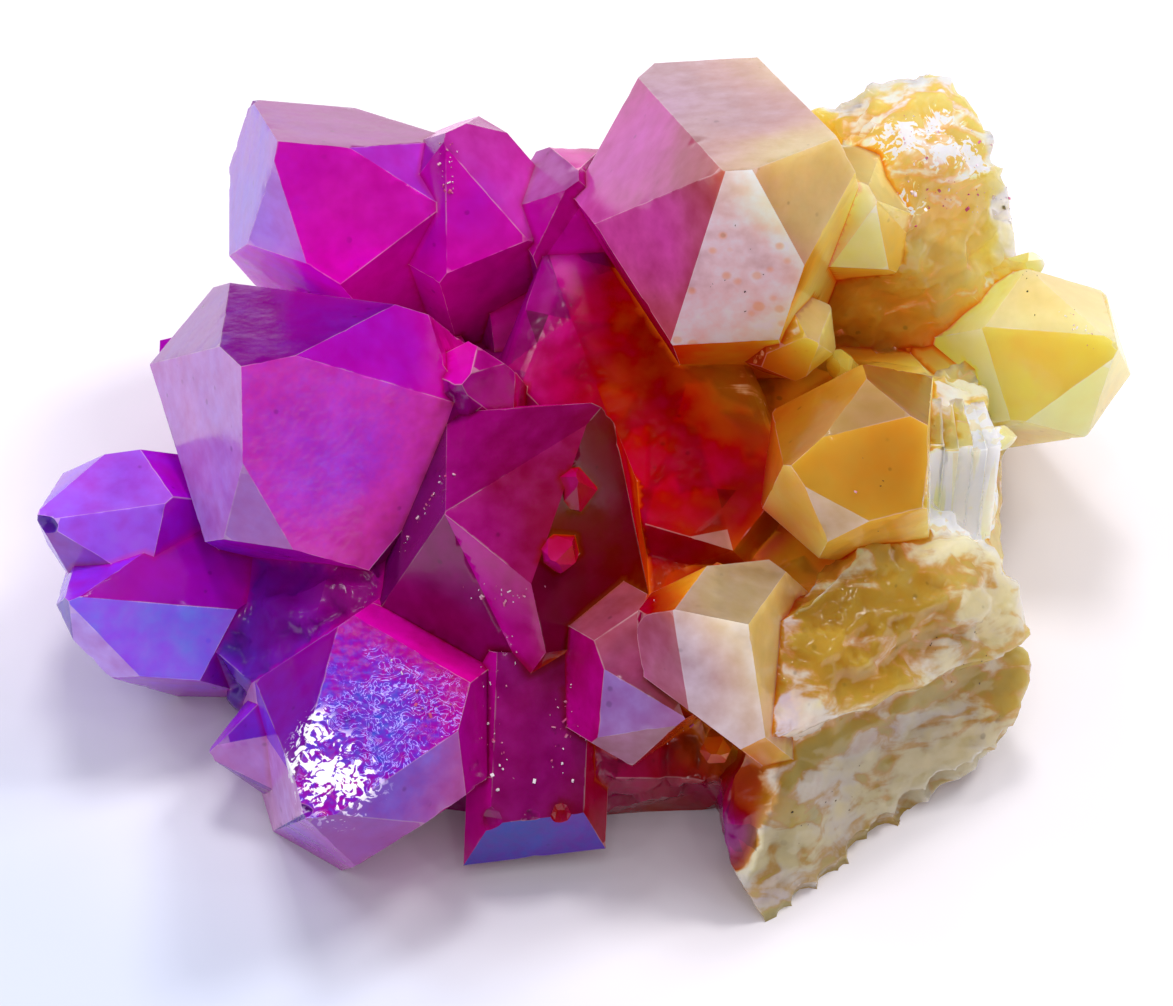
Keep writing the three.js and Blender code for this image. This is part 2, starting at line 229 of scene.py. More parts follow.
stone = bmesh.new()
stone.from_mesh(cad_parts["quartz_cluster"].data)
bmesh.ops.scale(stone, vec=(1 / MM, 1 / MM, 1 / MM), verts=stone.verts)
bmesh.ops.remove_doubles(stone, verts=stone.verts, dist=WELD)
bmesh.ops.dissolve_limit(stone, angle_limit=FLAT, verts=stone.verts, edges=stone.edges)
facet_key = stone.faces.layers.int.new("facet")
for number, face in enumerate(stone.faces):
    face[facet_key] = number
facet_area = np.array([face.calc_area() for face in stone.faces])
facet_middle = np.array([face.calc_center_median() for face in stone.faces])
bmesh.ops.triangulate(stone, faces=stone.faces[:])


def longest(edge, limit):
    """How long an edge may stay: the flat underside needs no short ones."""
    under = all(vert.co.z < GROUND for vert in edge.verts)
    return max(limit, GROUND_EDGE) if under else limit


for times in (16, 8, 4, 2, 1):
    long_edges = [
        edge for edge in stone.edges
        if edge.calc_length() > longest(edge, FINEST_EDGE * times)
    ]
    bmesh.ops.subdivide_edges(stone, edges=long_edges, cuts=1)
    bmesh.ops.triangulate(stone, faces=[face for face in stone.faces if len(face.verts) > 3])
    inner = [
        edge for edge in stone.edges
        if len({face[facet_key] for face in edge.link_faces}) == 1
    ]
    bmesh.ops.beautify_fill(stone, faces=stone.faces[:], edges=inner)

# How broken each spot is: nothing on a grown face, all on the small shells of a break.
stone.verts.index_update()
stone.edges.index_update()
stone.faces.index_update()
broken_share = np.clip((GROWN_FACE - facet_area) / (GROWN_FACE - BROKEN_FACE), 0, 1)
for *tip, size in YOUNG_POINTS:
    away = np.linalg.norm(facet_middle - np.array(tip), axis=1)
    broken_share[away < YOUNG_REACH * size] = 0
facets = np.array([face[facet_key] for face in stone.faces])
broken = np.array([
    min(broken_share[face[facet_key]] for face in vert.link_faces) for vert in stone.verts
])
rubble = [vert for vert in stone.verts if broken[vert.index] > 0.5 and vert.co.z > GROUND]
bmesh.ops.smooth_vert(stone, verts=rubble, factor=0.5, use_axis_x=True, use_axis_y=True,
                      use_axis_z=True)
stone.normal_update()

# Creases stay sharp, and a corner that stands out is where the coating wears through.
worn = np.zeros(len(stone.verts))
cleft = np.zeros(len(stone.verts))
for edge in stone.edges:
    one, other = edge.link_faces
    rough_edge = min(broken_share[one[facet_key]], broken_share[other[facet_key]]) > 0.5
    bend = edge.calc_face_angle()
    edge.smooth = bend < (BROKEN_CREASE if rough_edge else CREASE)
    if not edge.smooth and not rough_edge:
        mark = worn if edge.is_convex else cleft
        for vert in edge.verts:
            mark[vert.index] = max(mark[vert.index], min(bend / WORN_BEND, 1))
for face in stone.faces:
    face.smooth = True
place = np.array([vert.co for vert in stone.verts])
for *tip, size in YOUNG_POINTS:
    worn[np.linalg.norm(place - np.array(tip), axis=1) < YOUNG_REACH * size] = 0
vert_normal = np.array([vert.normal for vert in stone.verts])
face_normal = np.array([face.normal for face in stone.faces])
face_middle = np.array([face.calc_center_median() for face in stone.faces])

# How open each spot is to the room, from rays sent out over it.
SPOKES = 26
SHELTER = 16.0
SPOKE_LIFT = 0.08
LEAST_LEAN = 0.15
turns = np.arange(SPOKES) * math.pi * (3 - math.sqrt(5))
heights = 1 - (2 * np.arange(SPOKES) + 1) / SPOKES
rings = np.sqrt(1 - heights ** 2)
spokes = [Vector(v) for v in zip(rings * np.cos(turns), rings * np.sin(turns), heights)]
hull = BVHTree.FromBMesh(stone)


def openness(vert):
    start = vert.co + vert.normal * SPOKE_LIFT
    free = total = 0
    for spoke in spokes:
        lean = spoke.dot(vert.normal)
        if lean > LEAST_LEAN:
            total += lean
            if hull.ray_cast(start, spoke, SHELTER)[0] is None:
                free += lean
    return free / total


open_share = np.array([openness(vert) for vert in stone.verts])
stone_mesh = bpy.data.meshes.new("quartz_stone")
stone.to_mesh(stone_mesh)
stone.free()


# The kinds of break lie apart: the smooth hollow in the middle, the broken rims of the straw
# point, the block behind it, the foot in front, and the mass above the foot.
HOLLOW_LOW, HOLLOW_HIGH = Vector((-9, -8, 11)), Vector((13, 18, 99))
STRAW_FROM = 30
STRAW_BACK = 12
RIGHT_FROM = 8
BLOCK_FROM = 6
FOOT_TOP = 10
# Plates of a break, layer on layer: how high each layer is, how wide its plates, and its place.
PLATE_TILT, PLATE_STEP = 0.7, 0.35
TILT_CHANCE, STEP_CHANCE = 13.7, 5.3
STRAW_PLATES = ((0.25, 1.5, (0, 0, 0)),)
BLOCK_PLATES = ((0.36, 4.2, (0, 0, 0)), (0.30, 1.5, (9, 4, 2)))
MASS_PLATES = ((0.35, 3.0, (0, 0, 0)),)
OTHER_PLATES = ((0.5, 3.0, (0, 0, 0)), (0.4, 1.3, (5, 1, 7)))
# Shells and swells, each with its height in mm and how many there are to the mm. The shells of
# the mass run along SHELL_WAY.
MASS_LIFT, MASS_SHELL = 0.35, 1.3
SHELL_WAY, SHELL_RATE = (0.9, 0.44), (0.13, 0.36, 0.36)
FINE, FINE_RATE = 0.04, 1.6
FOOT_SWELL, FOOT_SWELL_RATE = 0.3, 0.22
FOOT_ETCH, FOOT_LUMP = 0.16, 0.12
ETCH_RATE = (0.25, 0.6, 0.6)
ETCH_EVEN, ETCH_MORE, ETCH_UP, ETCH_LEVEL = 0.45, 1.1, 0.08, 8
WAVE, WAVE_RATE = 0.02, 0.35
RIPPLE, RIPPLE_RATE = 0.008, 1.1
WORN_DOWN, BITE, BITE_FROM, BITE_RATE = 0.02, 0.25, 0.3, 0.9
# The relief fades out over the lowest SETTLED millimetres, so that the part stands flat.
SETTLED = 1.5
PRESSES = 8
FOLDED = 0.45


def plates(spot, size):
    """Flat broken plates, each a little tilted, from -0.5 to 0.5 of a plate's size."""
    near = spot / size
    heart = noise.voronoi(near)[1][0]
    tilt = noise.cell_vector(heart * TILT_CHANCE) - Vector((0.5, 0.5, 0.5))
    step = noise.cell(heart * STEP_CHANCE) - 0.5
    return size * (PLATE_TILT * tilt.dot(near - heart) + PLATE_STEP * step)


def plated(spot, layers):
    """All the layers of plates together, in millimetres."""
    return sum(height * plates(spot + Vector(moved), size) for height, size, moved in layers)


def in_hollow(spot):
    return all(low < at < high for low, at, high in zip(HOLLOW_LOW, spot, HOLLOW_HIGH))


def etched(spot):
    """How deeply a spot of the foot is etched, from 0 to 1: most under its upper edge."""
    grown = noise.fractal(spot * Vector(ETCH_RATE), 1.0, 2.0, 4)
    return min(max(ETCH_EVEN + ETCH_MORE * grown + ETCH_UP * (spot.z - ETCH_LEVEL), 0), 1)


def break_relief(spot):
    """How far a broken spot stands out, in millimetres, for each kind of break."""
    fine = FINE * noise.fractal(spot * FINE_RATE, 1.0, 2.0, 3)
    if in_hollow(spot):
        return fine * 0.5
    if spot.x > STRAW_FROM and spot.y < STRAW_BACK:
        return plated(spot, STRAW_PLATES)
    if spot.x > RIGHT_FROM and spot.y > BLOCK_FROM:
        return plated(spot, BLOCK_PLATES) + fine
    if spot.x > RIGHT_FROM and spot.z < FOOT_TOP:
        swell = FOOT_SWELL * noise.noise(spot * FOOT_SWELL_RATE)
        return swell - FOOT_ETCH * etched(spot) + FOOT_LUMP * noise.noise(spot) + fine
    if spot.x > RIGHT_FROM:
        right, back = SHELL_WAY
        along = Vector((spot.x * right + spot.y * back, spot.y * right - spot.x * back, spot.z))
        shell = noise.noise(along * Vector(SHELL_RATE))
        return MASS_LIFT - MASS_SHELL * abs(shell) + plated(spot, MASS_PLATES) + fine
    return plated(spot, OTHER_PLATES) + fine


def shift(at, how_broken, how_worn):
    """How far one spot stands out of its flat face, in millimetres."""
    spot = Vector(at)
    wave = WAVE * noise.noise(spot * WAVE_RATE) + RIPPLE * noise.noise(spot * RIPPLE_RATE)
    out = wave * (1 - how_worn)
    if how_broken > 0:
        out += how_broken * break_relief(spot)
    if how_worn > 0:
        bite = noise.fractal(spot * BITE_RATE + Vector((7, 3, 1)), 1.0, 2.0, 3)
        out -= how_worn * (WORN_DOWN + BITE * max(0, bite - BITE_FROM))
    return out


out = np.array([
    shift(at, how_broken, how_worn)
    for at, how_broken, how_worn in zip(place, broken, worn)
])
out *= np.clip((place[:, 2] - GROUND) / SETTLED, 0, 1)

# A break that would fold over itself is pressed back until it lies open.
corner_vert = np.empty(len(stone_mesh.loops), dtype=np.int32)
stone_mesh.loops.foreach_get("vertex_index", corner_vert)
corners = corner_vert.reshape(-1, 3)
for _ in range(PRESSES):
    spans = (place + vert_normal * out[:, None])[corners]
    leans = np.cross(spans[:, 1] - spans[:, 0], spans[:, 2] - spans[:, 0])
    leans /= np.linalg.norm(leans, axis=1)[:, None] + TINY
    folded = (leans * face_normal).sum(axis=1) < FOLDED
    out[corners[folded].ravel()] *= 0.5
placed = place + vert_normal * out[:, None]
placed[:, 2] = np.maximum(placed[:, 2], 0)
stone_mesh.vertices.foreach_set("co", (placed * MM).ravel())
stone_mesh.update()

cluster = bpy.data.objects.new("quartz_stone", stone_mesh)
bpy.context.scene.collection.objects.link(cluster)
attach(cluster, "root")
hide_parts("quartz_cluster")

# ---- The film on it --------------------------------------------------------------------------
# The coating was laid on in a vacuum from the left, so it is thickest there, thin in the
# hollow in the middle and thinnest on the right. Each row: a spot in mm, then its thickness.
FILM_READINGS = (
    (-35, -5, 13, 0.87), (-29, -11, 10, 0.86), (-22, 18, 21, 0.80), (-17, 16, 23, 0.735),
    (-8, 16, 21, 0.74), (-2, 16, 20, 0.68), (-24, 0, 22, 0.80), (-17, -5, 21, 0.85),
    (-14, 1, 25, 0.80), (-15, -21, 13, 0.87), (-20, -20, 9, 0.84), (-12, -8, 17, 0.69),
    (-7, 0, 22, 0.64), (-6, -5, 23, 0.60), (-8, -13, 16, 0.64), (0, -10, 19, 0.54),
    (-4, -21, 8, 0.63), (0, -22, 6, 0.54), (4, 4, 16, 0.465), (3, 12, 17, 0.465),
    (9, -3, 15, 0.485), (5, 9, 28, 0.60), (3, 16, 28, 0.66), (10, 16, 31, 0.50),
    (10, 6, 28, 0.48), (14, 9, 32, 0.16), (10, 6, 18, 0.37), (20, 14, 26, 0.15),
    (15, 7, 22, 0.18), (24, 18, 26, 0.17), (16, -8, 26, 0.26), (13, -10, 22, 0.25),
    (24, -3, 18, 0.12), (30, 8, 17, 0.13), (9, -17, 21, 0.20), (4, -20, 19, 0.50),
    (2, -19, 15, 0.57), (12, -18, 18, 0.21), (18, -16, 14, 0.23), (20, -13, 16, 0.20),
    (23, -15, 9, 0.16), (13, -25, 3, 0.12), (9, -25, 6, 0.66), (10, -22.5, 8.5, 0.42),
    (20, 22, 26, 0.13), (24, -4, 15, 0.13), (9, -22, 3, 0.60), (15, -22, 5, 0.13),
    (13.5, -21.5, 8, 0.16), (17.5, -20, 6, 0.14), (12.5, -24, 5, 0.15), (11.8, -26.5, 1.5, 0.14),
)
# Faces that differ from the general run, point by point: a spot on the face, how much thicker
# its film is, how much painted sheen (a pale reflection of the table) lies on it, how grainy it
# grew, and how bright its colour is.
FACES = {
    "far left point": (
        ((-32.9, -2.5, 14.8), 0.0, 0.12, 0.0, 1.1), ((-32.4, -5.6, 13.8), 0.02, 0.12, 0.0, 1.35),
        ((-35.5, -6.4, 12.6), -0.03, 0.18, 0.1, 0.9),
        ((-29.4, -11.6, 10.1), 0.12, 0.05, 0.1, 2.0), ((-33, -13, 10), 0.0, 0.50, 0.1, 1.3),
        ((-27.9, -7.6, 11.5), -0.04, 0.0, 0.0, 0.7),
    ),
    "back left point": (
        ((-18, 23, 24), -0.02, 0.10, 0.1, 0.52), ((-24, 21, 20.6), 0.05, 0.12, 0.1, 0.95),
        ((-17, 15.8, 23), 0.0, 0.0, 0.1, 1.35), ((-22, 15, 22), 0.06, 0.34, 0.0, 1.2),
        ((-21.9, 16, 16), 0.02, 0.0, 0.0, 1.4), ((-13.5, 18.8, 24.4), 0.11, 0.04, 0.0, 0.90),
    ),
    "big left point": (
        ((-20.7, 2.7, 26.1), 0.02, 0.0, 0.1, 0.44), ((-13.7, 1.3, 24.9), 0.03, 0.0, 0.0, 0.8),
        ((-26, -2, 20.4), -0.04, 0.34, 0.1, 1.1), ((-17, -5, 21), 0.0, 0.05, 0.3, 1.5),
        ((-22.7, -8, 18.4), 0.0, 0.27, 0.1, 0.95), ((-26.7, 5.3, 22.6), -0.01, 0.16, 0.1, 0.62),
    ),
    "glittering front point": (
        ((-19.8, -18, 12.1), -0.04, 0.0, 0.0, 0.48), ((-14.5, -20.6, 13.4), 0.03, 0.0, 1.0, 1.35),
        ((-11.5, -25, 11.3), 0.09, 0.22, 0.2, 0.78), ((-15.3, -27.2, 9.2), 0.03, 0.10, 0.1, 0.72),
        ((-20.9, -21.9, 7.5), -0.10, 0.35, 0.1, 1.15), ((-23.5, -18.7, 5.7), -0.05, 0.33, 0.1, 1.0),
    ),
    "twin behind": (
        ((-6.8, 19.6, 23), 0.05, 0.05, 0.0, 0.85), ((-3, 19.6, 22.1), 0.03, 0.22, 0.0, 0.65),
        ((-8.3, 16, 21.3), 0.02, 0.0, 0.0, 1.25), ((-1.6, 15.8, 19.4), 0.05, 0.0, 0.0, 1.15),
        ((-7.5, 15, 15.3), 0.01, 0.0, 0.0, 1.0), ((-3.8, 10.7, 16.7), 0.0, 0.0, 0.0, 0.4),
        ((-6.8, 0.5, 22), 0.06, 0.0, 0.0, 0.55),
    ),
    "middle point": (
        ((-6, -5, 22.8), -0.02, 0.0, 0.0, 0.45), ((-4.8, -9.9, 22), -0.01, 0.0, 0.0, 0.7),
        ((-0.3, -10.1, 19.1), 0.02, 0.0, 0.0, 0.8), ((-8.1, -13.2, 15.8), -0.05, 0.0, 0.0, 0.5),
        ((-11.7, -7.6, 17.6), 0.0, 0.0, 0.0, 0.24),
    ),
    "front stump": (
        ((-3.7, -20.9, 8.5), 0.03, 0.0, 0.1, 0.55), ((-7.7, -19.8, 10.8), 0.07, 0.0, 0.0, 0.55),
        ((-4, -24, 3.7), 0.38, 0.0, 0.3, 0.55),
    ),
    "tall point": (
        ((10, 18, 31), -0.04, 0.48, 0.1, 0.72), ((3, 15.5, 28), 0.0, 0.11, 0.0, 1.0),
        ((5, 8, 28), 0.0, 0.10, 0.0, 1.3), ((10, 5.6, 28), 0.0, 0.84, 0.0, 1.35),
        ((14, 8.5, 33), 0.03, 0.25, 0.1, 0.8), ((8.6, 6.3, 17.7), 0.0, 0.0, 0.0, 2.3),
    ),
    "small points on its right": (
        ((18.1, 11.9, 26.7), 0.03, 0.35, 0.0, 1.15), ((18.6, 11.1, 24.1), 0.03, 0.35, 0.0, 1.5),
        ((20, 14, 26.9), 0.02, 0.1, 0.0, 0.76), ((15.1, 6.6, 21.9), 0.05, 0.25, 0.0, 0.85),
        ((18.5, 16, 27.4), 0.02, 0.15, 0.0, 0.70), ((20.7, 12.3, 24.3), 0.05, 0.0, 0.0, 1.0),
    ),
    "amber point": (
        ((15.7, -12.2, 24), 0.0, 0.55, 0.0, 0.8), ((17.9, -6.3, 27.8), 0.0, 0.22, 0.0, 0.5),
        ((13.3, -10.2, 22.1), 0.03, 0.0, 0.0, 1.6), ((20.7, -1.9, 24.6), 0.15, 0.0, 0.0, 0.36),
        ((18, -9.8, 26.1), 0.02, 0.0, 0.0, 0.8), ((14.6, -4.7, 25.5), 0.0, 0.0, 0.0, 0.6),
        ((13.4, -8.2, 21.0), 0.0, 0.1, 0.0, 1.5),
    ),
    "straw point": (
        ((30.8, 9.9, 19.1), -0.02, 0.34, 0.0, 0.95), ((34.3, 11.1, 18.3), 0.0, 0.2, 0.0, 0.86),
        ((31, 6.3, 17.2), 0.06, 0.05, 0.0, 1.2),
        ((26.6, 8.4, 15.1), 0.02, 0.12, 0.0, 2.5), ((33.4, 4.8, 14.6), 0.0, 0.2, 0.0, 1.2),
        ((27.5, 11.8, 17.1), 0.03, 0.25, 0.0, 1.3),
    ),
    "white front point": (
        ((9, -16.3, 21.6), 0.02, 0.55, 0.1, 0.5), ((8, -21.3, 19), 0.03, 0.75, 0.0, 1.0),
        ((4.4, -20, 19.5), 0.0, 0.15, 0.0, 1.1), ((11.7, -18, 18), 0.02, 0.22, 0.0, 0.80),
    ),
    "small front point": (
        ((2.5, -21, 14.6), 0.24, 0.4, 0.0, 0.72), ((2.5, -21.8, 11.8), 0.04, 0.25, 0.0, 0.7),
        ((1.2, -13.8, 15.9), -0.02, 0.10, 0.0, 0.7), ((2.2, -18, 16.3), 0.0, 0.10, 0.0, 0.72),
    ),
    "hollow": (
        ((8.4, -6.7, 14.7), -0.05, 0.25, 0.0, 0.9), ((1.8, -6.2, 21.4), 0.0, 0.0, 0.0, 0.34),
        ((8.6, -3.2, 15.4), 0.0, 0.0, 0.0, 0.66),
    ),
}
PLAIN_NOTE = (0.0, 0.0, 0.0, 1.0)
# Small faces under a thick film, where they have no row of their own, are a little darker.
SMALL_NOTE = (0.03, 0.0, 0.0, 0.62)
SMALL_FACE = 7.0
SMALL_FILM = 0.58
# A reading counts for less with the fourth power of how far off it is.
FILM_RANGE = 0.8
FILM_FALL = 4
STRAW_FILM, GOLD_FILM = 0.22, 0.45


def far_from(places, spot):
    """How far each place is from one spot, in millimetres."""
    return np.sqrt(((places - np.array(spot)) ** 2).sum(axis=1))


def ramp(values, empty, full):
    """0 where the values are at empty, 1 where they are at full, and even on the way."""
    return np.clip((values - empty) / (full - empty), 0, 1)


pull = np.array([
    1 / (far_from(place, reading[:3]) + FILM_RANGE) ** FILM_FALL for reading in FILM_READINGS
])
levels = np.array([reading[3] for reading in FILM_READINGS])
film_at = levels @ pull / pull.sum(axis=0)
straw = ramp(film_at, GOLD_FILM, STRAW_FILM)

face_notes = np.tile(PLAIN_NOTE, (len(facet_area), 1))
facet_film = np.zeros(len(facet_area))
facet_film[facets] = film_at[corners[:, 0]]
face_notes[(facet_area < SMALL_FACE) & (facet_film > SMALL_FILM)] = SMALL_NOTE
for rows in FACES.values():
    for spot, *notes in rows:
        face_notes[facets[np.argmin(far_from(face_middle, spot))]] = notes

# Sheltered places get painted light: their colour is made brighter, standing in for light that
# goes through the stone. The coated faces take a little less of it.
SHELTER_PAINTED_LIGHT = 0.45
COATED_TONE = 0.95
# The hollow in the middle has a soft sheen and painted light, fading out where the film is not red.
HOLLOW_HEART = (4.0, 4.0, 16.0)
HOLLOW_REACH = (7.5, 9.0, 6.0)
HOLLOW_SPREAD = 1.9
HOLLOW_PAINTED_LIGHT = 0.12
HOLLOW_SHEEN = 0.94
RED_FILM = (0.37, 0.42, 0.53, 0.58)
# Places where it is darker: the heart of each in mm, how far it reaches, and by how much. The
# first is painted shade in the hollow.
DIM_HEARTS = (
    (9, -3, 15.4, 5.0, 0.36), (23.5, -2.1, 21.1, 2.0, 0.4), (26.3, -11.3, 13.8, 4.0, 0.16),
)
# The broken mass and its foot, in front on the right. The foot is darker, but for its rim, which
# has a painted glow.
MASS_FRONT = -5
MASS_FILM = 0.24
MASS_TONE, FOOT_TONE = 0.86, 0.26
PAINTED_RIM_GLOW, RIM_HEIGHT = 0.20, 1.5
# The prism columns beside the amber point: the middle of the row in x and y, and its half sizes.
# They get painted light: a brighter colour and a painted glow.
COLUMN_MIDDLE = (24.6, -3.2)
COLUMN_HALF = (3.0, 3.8)
COLUMN_LOW, COLUMN_HIGH = 10, 20.6
COLUMN_PEARL, COLUMN_PAINTED_LIGHT, PAINTED_COLUMN_GLOW = 1.6, 1.3, 0.09
# The straw-coloured block behind on the right starts here.
BLOCK_LOW_CORNER = (19.5, 14, 16)
BLOCK_TONE = 1.15
# How much of the broken quartz is pearly: on the block, on the foot, and on the mass, which is
# amber near its amber hearts. A thick film hides it.
BLOCK_PEARL, CREST_PEARL, CREST = 0.20, 0.35, (23, 27)
FOOT_PEARL, FOOT_RISE, FOOT_MOST = 0.45, 0.2, 0.80
LEDGE, LEDGE_HALF, LEDGE_BARE = 8.8, 1.6, 0.42
MASS_PEARL, MASS_MORE = 0.14, 0.60
AMBER_HEARTS = ((20, -13.2, 16.2), (13.4, -8.2, 14), (17.5, -9, 16), (18, -15.8, 15.3))
AMBER_REACH, AMBER_CORE = 4.2, 0.45
PEARL_FILM = (0.28, 0.42)
# Painted glints on the fine etching: the heart of each patch in mm, and how far it reaches.
PAINTED_GLINT_EDGE = 1.3
PAINTED_GLINT_HEARTS = (
    (-16.8, -24.9, 12.8, 3.0), (-18.7, -23.7, 13, 2.3), (-18.4, -21.6, 13.2, 1.5),
    (24.0, 18.5, 27.7, 2.5), (21.0, 18.2, 27.9, 1.9), (26.4, 18, 26.4, 1.8), (22, 15.4, 24.5, 1.4),
)
x, y, z = place.T
thin_red, red, thick_red, no_red = RED_FILM
hollow = np.clip(HOLLOW_SPREAD - far_from((place - HOLLOW_HEART) / HOLLOW_REACH, 0), 0, 1)
hollow *= ramp(film_at, no_red, thick_red) * ramp(film_at, thin_red, red)
painted_light_and_tone = (1 + SHELTER_PAINTED_LIGHT * (1 - open_share)) * (1 + HOLLOW_PAINTED_LIGHT * hollow)
painted_light_and_tone *= COATED_TONE + (1 - COATED_TONE) * straw
mass = (x > RIGHT_FROM) & (y < MASS_FRONT) & (film_at < MASS_FILM)
painted_light_and_tone[mass] *= MASS_TONE - FOOT_TONE * ramp(z[mass], FOOT_TOP, FOOT_TOP - 2)
for *heart, reach, dimmed in DIM_HEARTS:
    painted_light_and_tone *= 1 - dimmed * np.exp(-(far_from(place, heart) / reach) ** 2)
lit = PAINTED_RIM_GLOW * mass * ramp(z, RIM_HEIGHT, 0)

amber = np.min([far_from(place, heart) for heart in AMBER_HEARTS], axis=0) / AMBER_REACH
ledge = np.exp(-((z - LEDGE) / LEDGE_HALF) ** 2)
cover = np.select(
    (y > BLOCK_FROM, z < FOOT_TOP),
    (
        BLOCK_PEARL + CREST_PEARL * ramp(z, *CREST),
        np.minimum(FOOT_PEARL + FOOT_RISE * z, FOOT_MOST) - LEDGE_BARE * ledge,
    ),
    MASS_PEARL + MASS_MORE * np.clip(amber - AMBER_CORE, 0, 1),
)
bare, pearl_to = PEARL_FILM
pearly = (x > RIGHT_FROM) * cover * broken * ramp(film_at, pearl_to, bare)
columns = (abs(place[:, :2] - COLUMN_MIDDLE) < COLUMN_HALF).all(axis=1)
columns &= (z > COLUMN_LOW) & (z < COLUMN_HIGH)
pearly[columns] = COLUMN_PEARL
painted_light_and_tone[columns] *= COLUMN_PAINTED_LIGHT
lit[columns] = PAINTED_COLUMN_GLOW
painted_light_and_tone[(place > BLOCK_LOW_CORNER).all(axis=1)] *= BLOCK_TONE
glitter = np.max([
    np.clip(PAINTED_GLINT_EDGE - far_from(place, heart) / reach, 0, 1)
    for *heart, reach in PAINTED_GLINT_HEARTS
], axis=0)

# The film is thicker down in the straw clefts, thinner in the others and on faces turned right.
STRAW_CLEFT, COATED_CLEFT = 0.22, -0.08
TURNED_RIGHT = 0.05
OPEN_FROM, OPEN_TO = 0.15, 0.65
corner_face = np.repeat(np.arange(len(corners)), 3)
corner_notes = face_notes[facets[corner_face]]
pooled = cleft * (STRAW_CLEFT * straw + COATED_CLEFT)
film = (film_at + pooled)[corner_vert] + corner_notes[:, 0]
film -= TURNED_RIGHT * face_normal[corner_face, 0]
polish = ramp(open_share, OPEN_FROM, OPEN_TO) * (1 - HOLLOW_SHEEN * hollow)
marks = {
    "CORNER": {
        "film": film, "bloom": corner_notes[:, 1], "grain": corner_notes[:, 2],
        "tone": corner_notes[:, 3] * painted_light_and_tone[corner_vert],
    },
    "POINT": {
        "broken": broken, "worn": worn, "pearly": pearly, "polish": polish, "straw": straw,
        "glitter": glitter, "lit": lit,
    },
}
for domain, named in marks.items():
    for name, values in named.items():
        mark = stone_mesh.attributes.new(name, "FLOAT", domain)
        mark.data.foreach_set("value", values.astype(np.float32))

# ---- The coating -----------------------------------------------------------------------------
# Titanium burnt onto the clear quartz in a vacuum, a film a few hundred nanometres thick. Its
# colour runs from straw through gold, red and magenta to violet and blue as it gets thicker.
FILM_COLOURS = (
    (0.00, (0.95, 0.90, 0.70)),
    (0.10, (0.95, 0.76, 0.25)),
    (0.20, (0.85, 0.50, 0.06)),
    (0.30, (0.66, 0.26, 0.010)),
    (0.40, (0.50, 0.06, 0.002)),
    (0.47, (0.34, 0.000, 0.000)),
    (0.56, (0.36, 0.000, 0.07)),
    (0.66, (0.52, 0.001, 0.27)),
    (0.74, (0.55, 0.001, 0.40)),
    (0.82, (0.40, 0.001, 0.52)),
    (0.90, (0.22, 0.02, 0.72)),
    (1.00, (0.06, 0.09, 0.78)),
)
PAINTED_SHEEN_COLOURS = (
    (0.10, (0.84, 0.80, 0.56)),
    (0.30, (0.84, 0.70, 0.62)),
    (0.50, (0.78, 0.64, 0.72)),
    (0.90, (0.64, 0.54, 0.90)),
)
PEARL_COLOURS = (
    (0.36, (0.84, 0.70, 0.76)),
    (0.43, (0.95, 0.76, 0.62)),
    (0.51, (0.92, 0.84, 0.70)),
    (0.60, (0.92, 0.82, 0.50)),
)
RIM = (0.92, 0.44, 0.12, 1)
PIT = (0.80, 0.33, 0.14, 1)
COLUMN = (1.0, 0.84, 0.70, 1)
COLUMN_LINE = (0.80, 0.60, 0.36, 1)
PAINTED_GLINT_WHITE = (1.0, 1.0, 1.0, 1)
PAINTED_FLECK_BLUE = (0.38, 0.32, 1.0, 1)
EDGE = (0.90, 0.62, 0.62, 1)
BRIGHTEST = (0.98, 0.97, 0.98)
# The breaks run one way across the stone, and the fibres of the columns stand upright.
BREAK_TURN = math.radians(-24)
SHELL_STRETCH, HUE_STRETCH, FIBRE_STRETCH = (0.35, 1.2, 1.2), (0.5, 1.2, 1.2), (1.0, 1.0, 0.06)
# How much the film's thickness changes across a face: in broad drifts, in mottles, in grain.
FILM_DRIFT, FILM_MOTTLE, FILM_GRAIN = 0.13, 0.08, 0.35
# Film and quartz bend light about alike. The straw-coloured end is partly a clear pane, with
# light scattered over SCATTER metres behind the rest of it.
FILM_IOR, QUARTZ_IOR = 1.5, 1.55
PANE = 0.15
SCATTER = 10 * MM
SMOOTHEST, ROUGHER = 0.05, 0.25
# The finest relief: its tooth, more of it on grainy faces, and shells where quartz broke.
GRAIN_TOOTH, BREAK_SHELL, BREAK_TOOTH = 10.0, 16.0, 4.0
RELIEF = 0.1 * MM
RELIEF_SHARE = 0.08

coated = bpy.data.materials.new("coated_quartz")
coated.use_nodes = True
coated.node_tree.nodes.clear()
start = Wire(coated.node_tree, None)


def marked(name):
    return start.node("Attribute", {"attribute_name": name}, {}, "Fac")


def cloud(scale, detail, warp=0.0, turn=0.0, stretch=(1, 1, 1)):
    """Noise, about 0.5, with so many lumps to the metre."""
    where = start.node("TexCoord", {}, {}, "Object")
    laid = start.node("Mapping", {}, {
        "Vector": where, "Rotation": (0, 0, turn), "Scale": stretch,
    })
    return start.node("TexNoise", {}, {
        "Vector": laid, "Scale": scale, "Detail": detail, "Distortion": warp,
    })


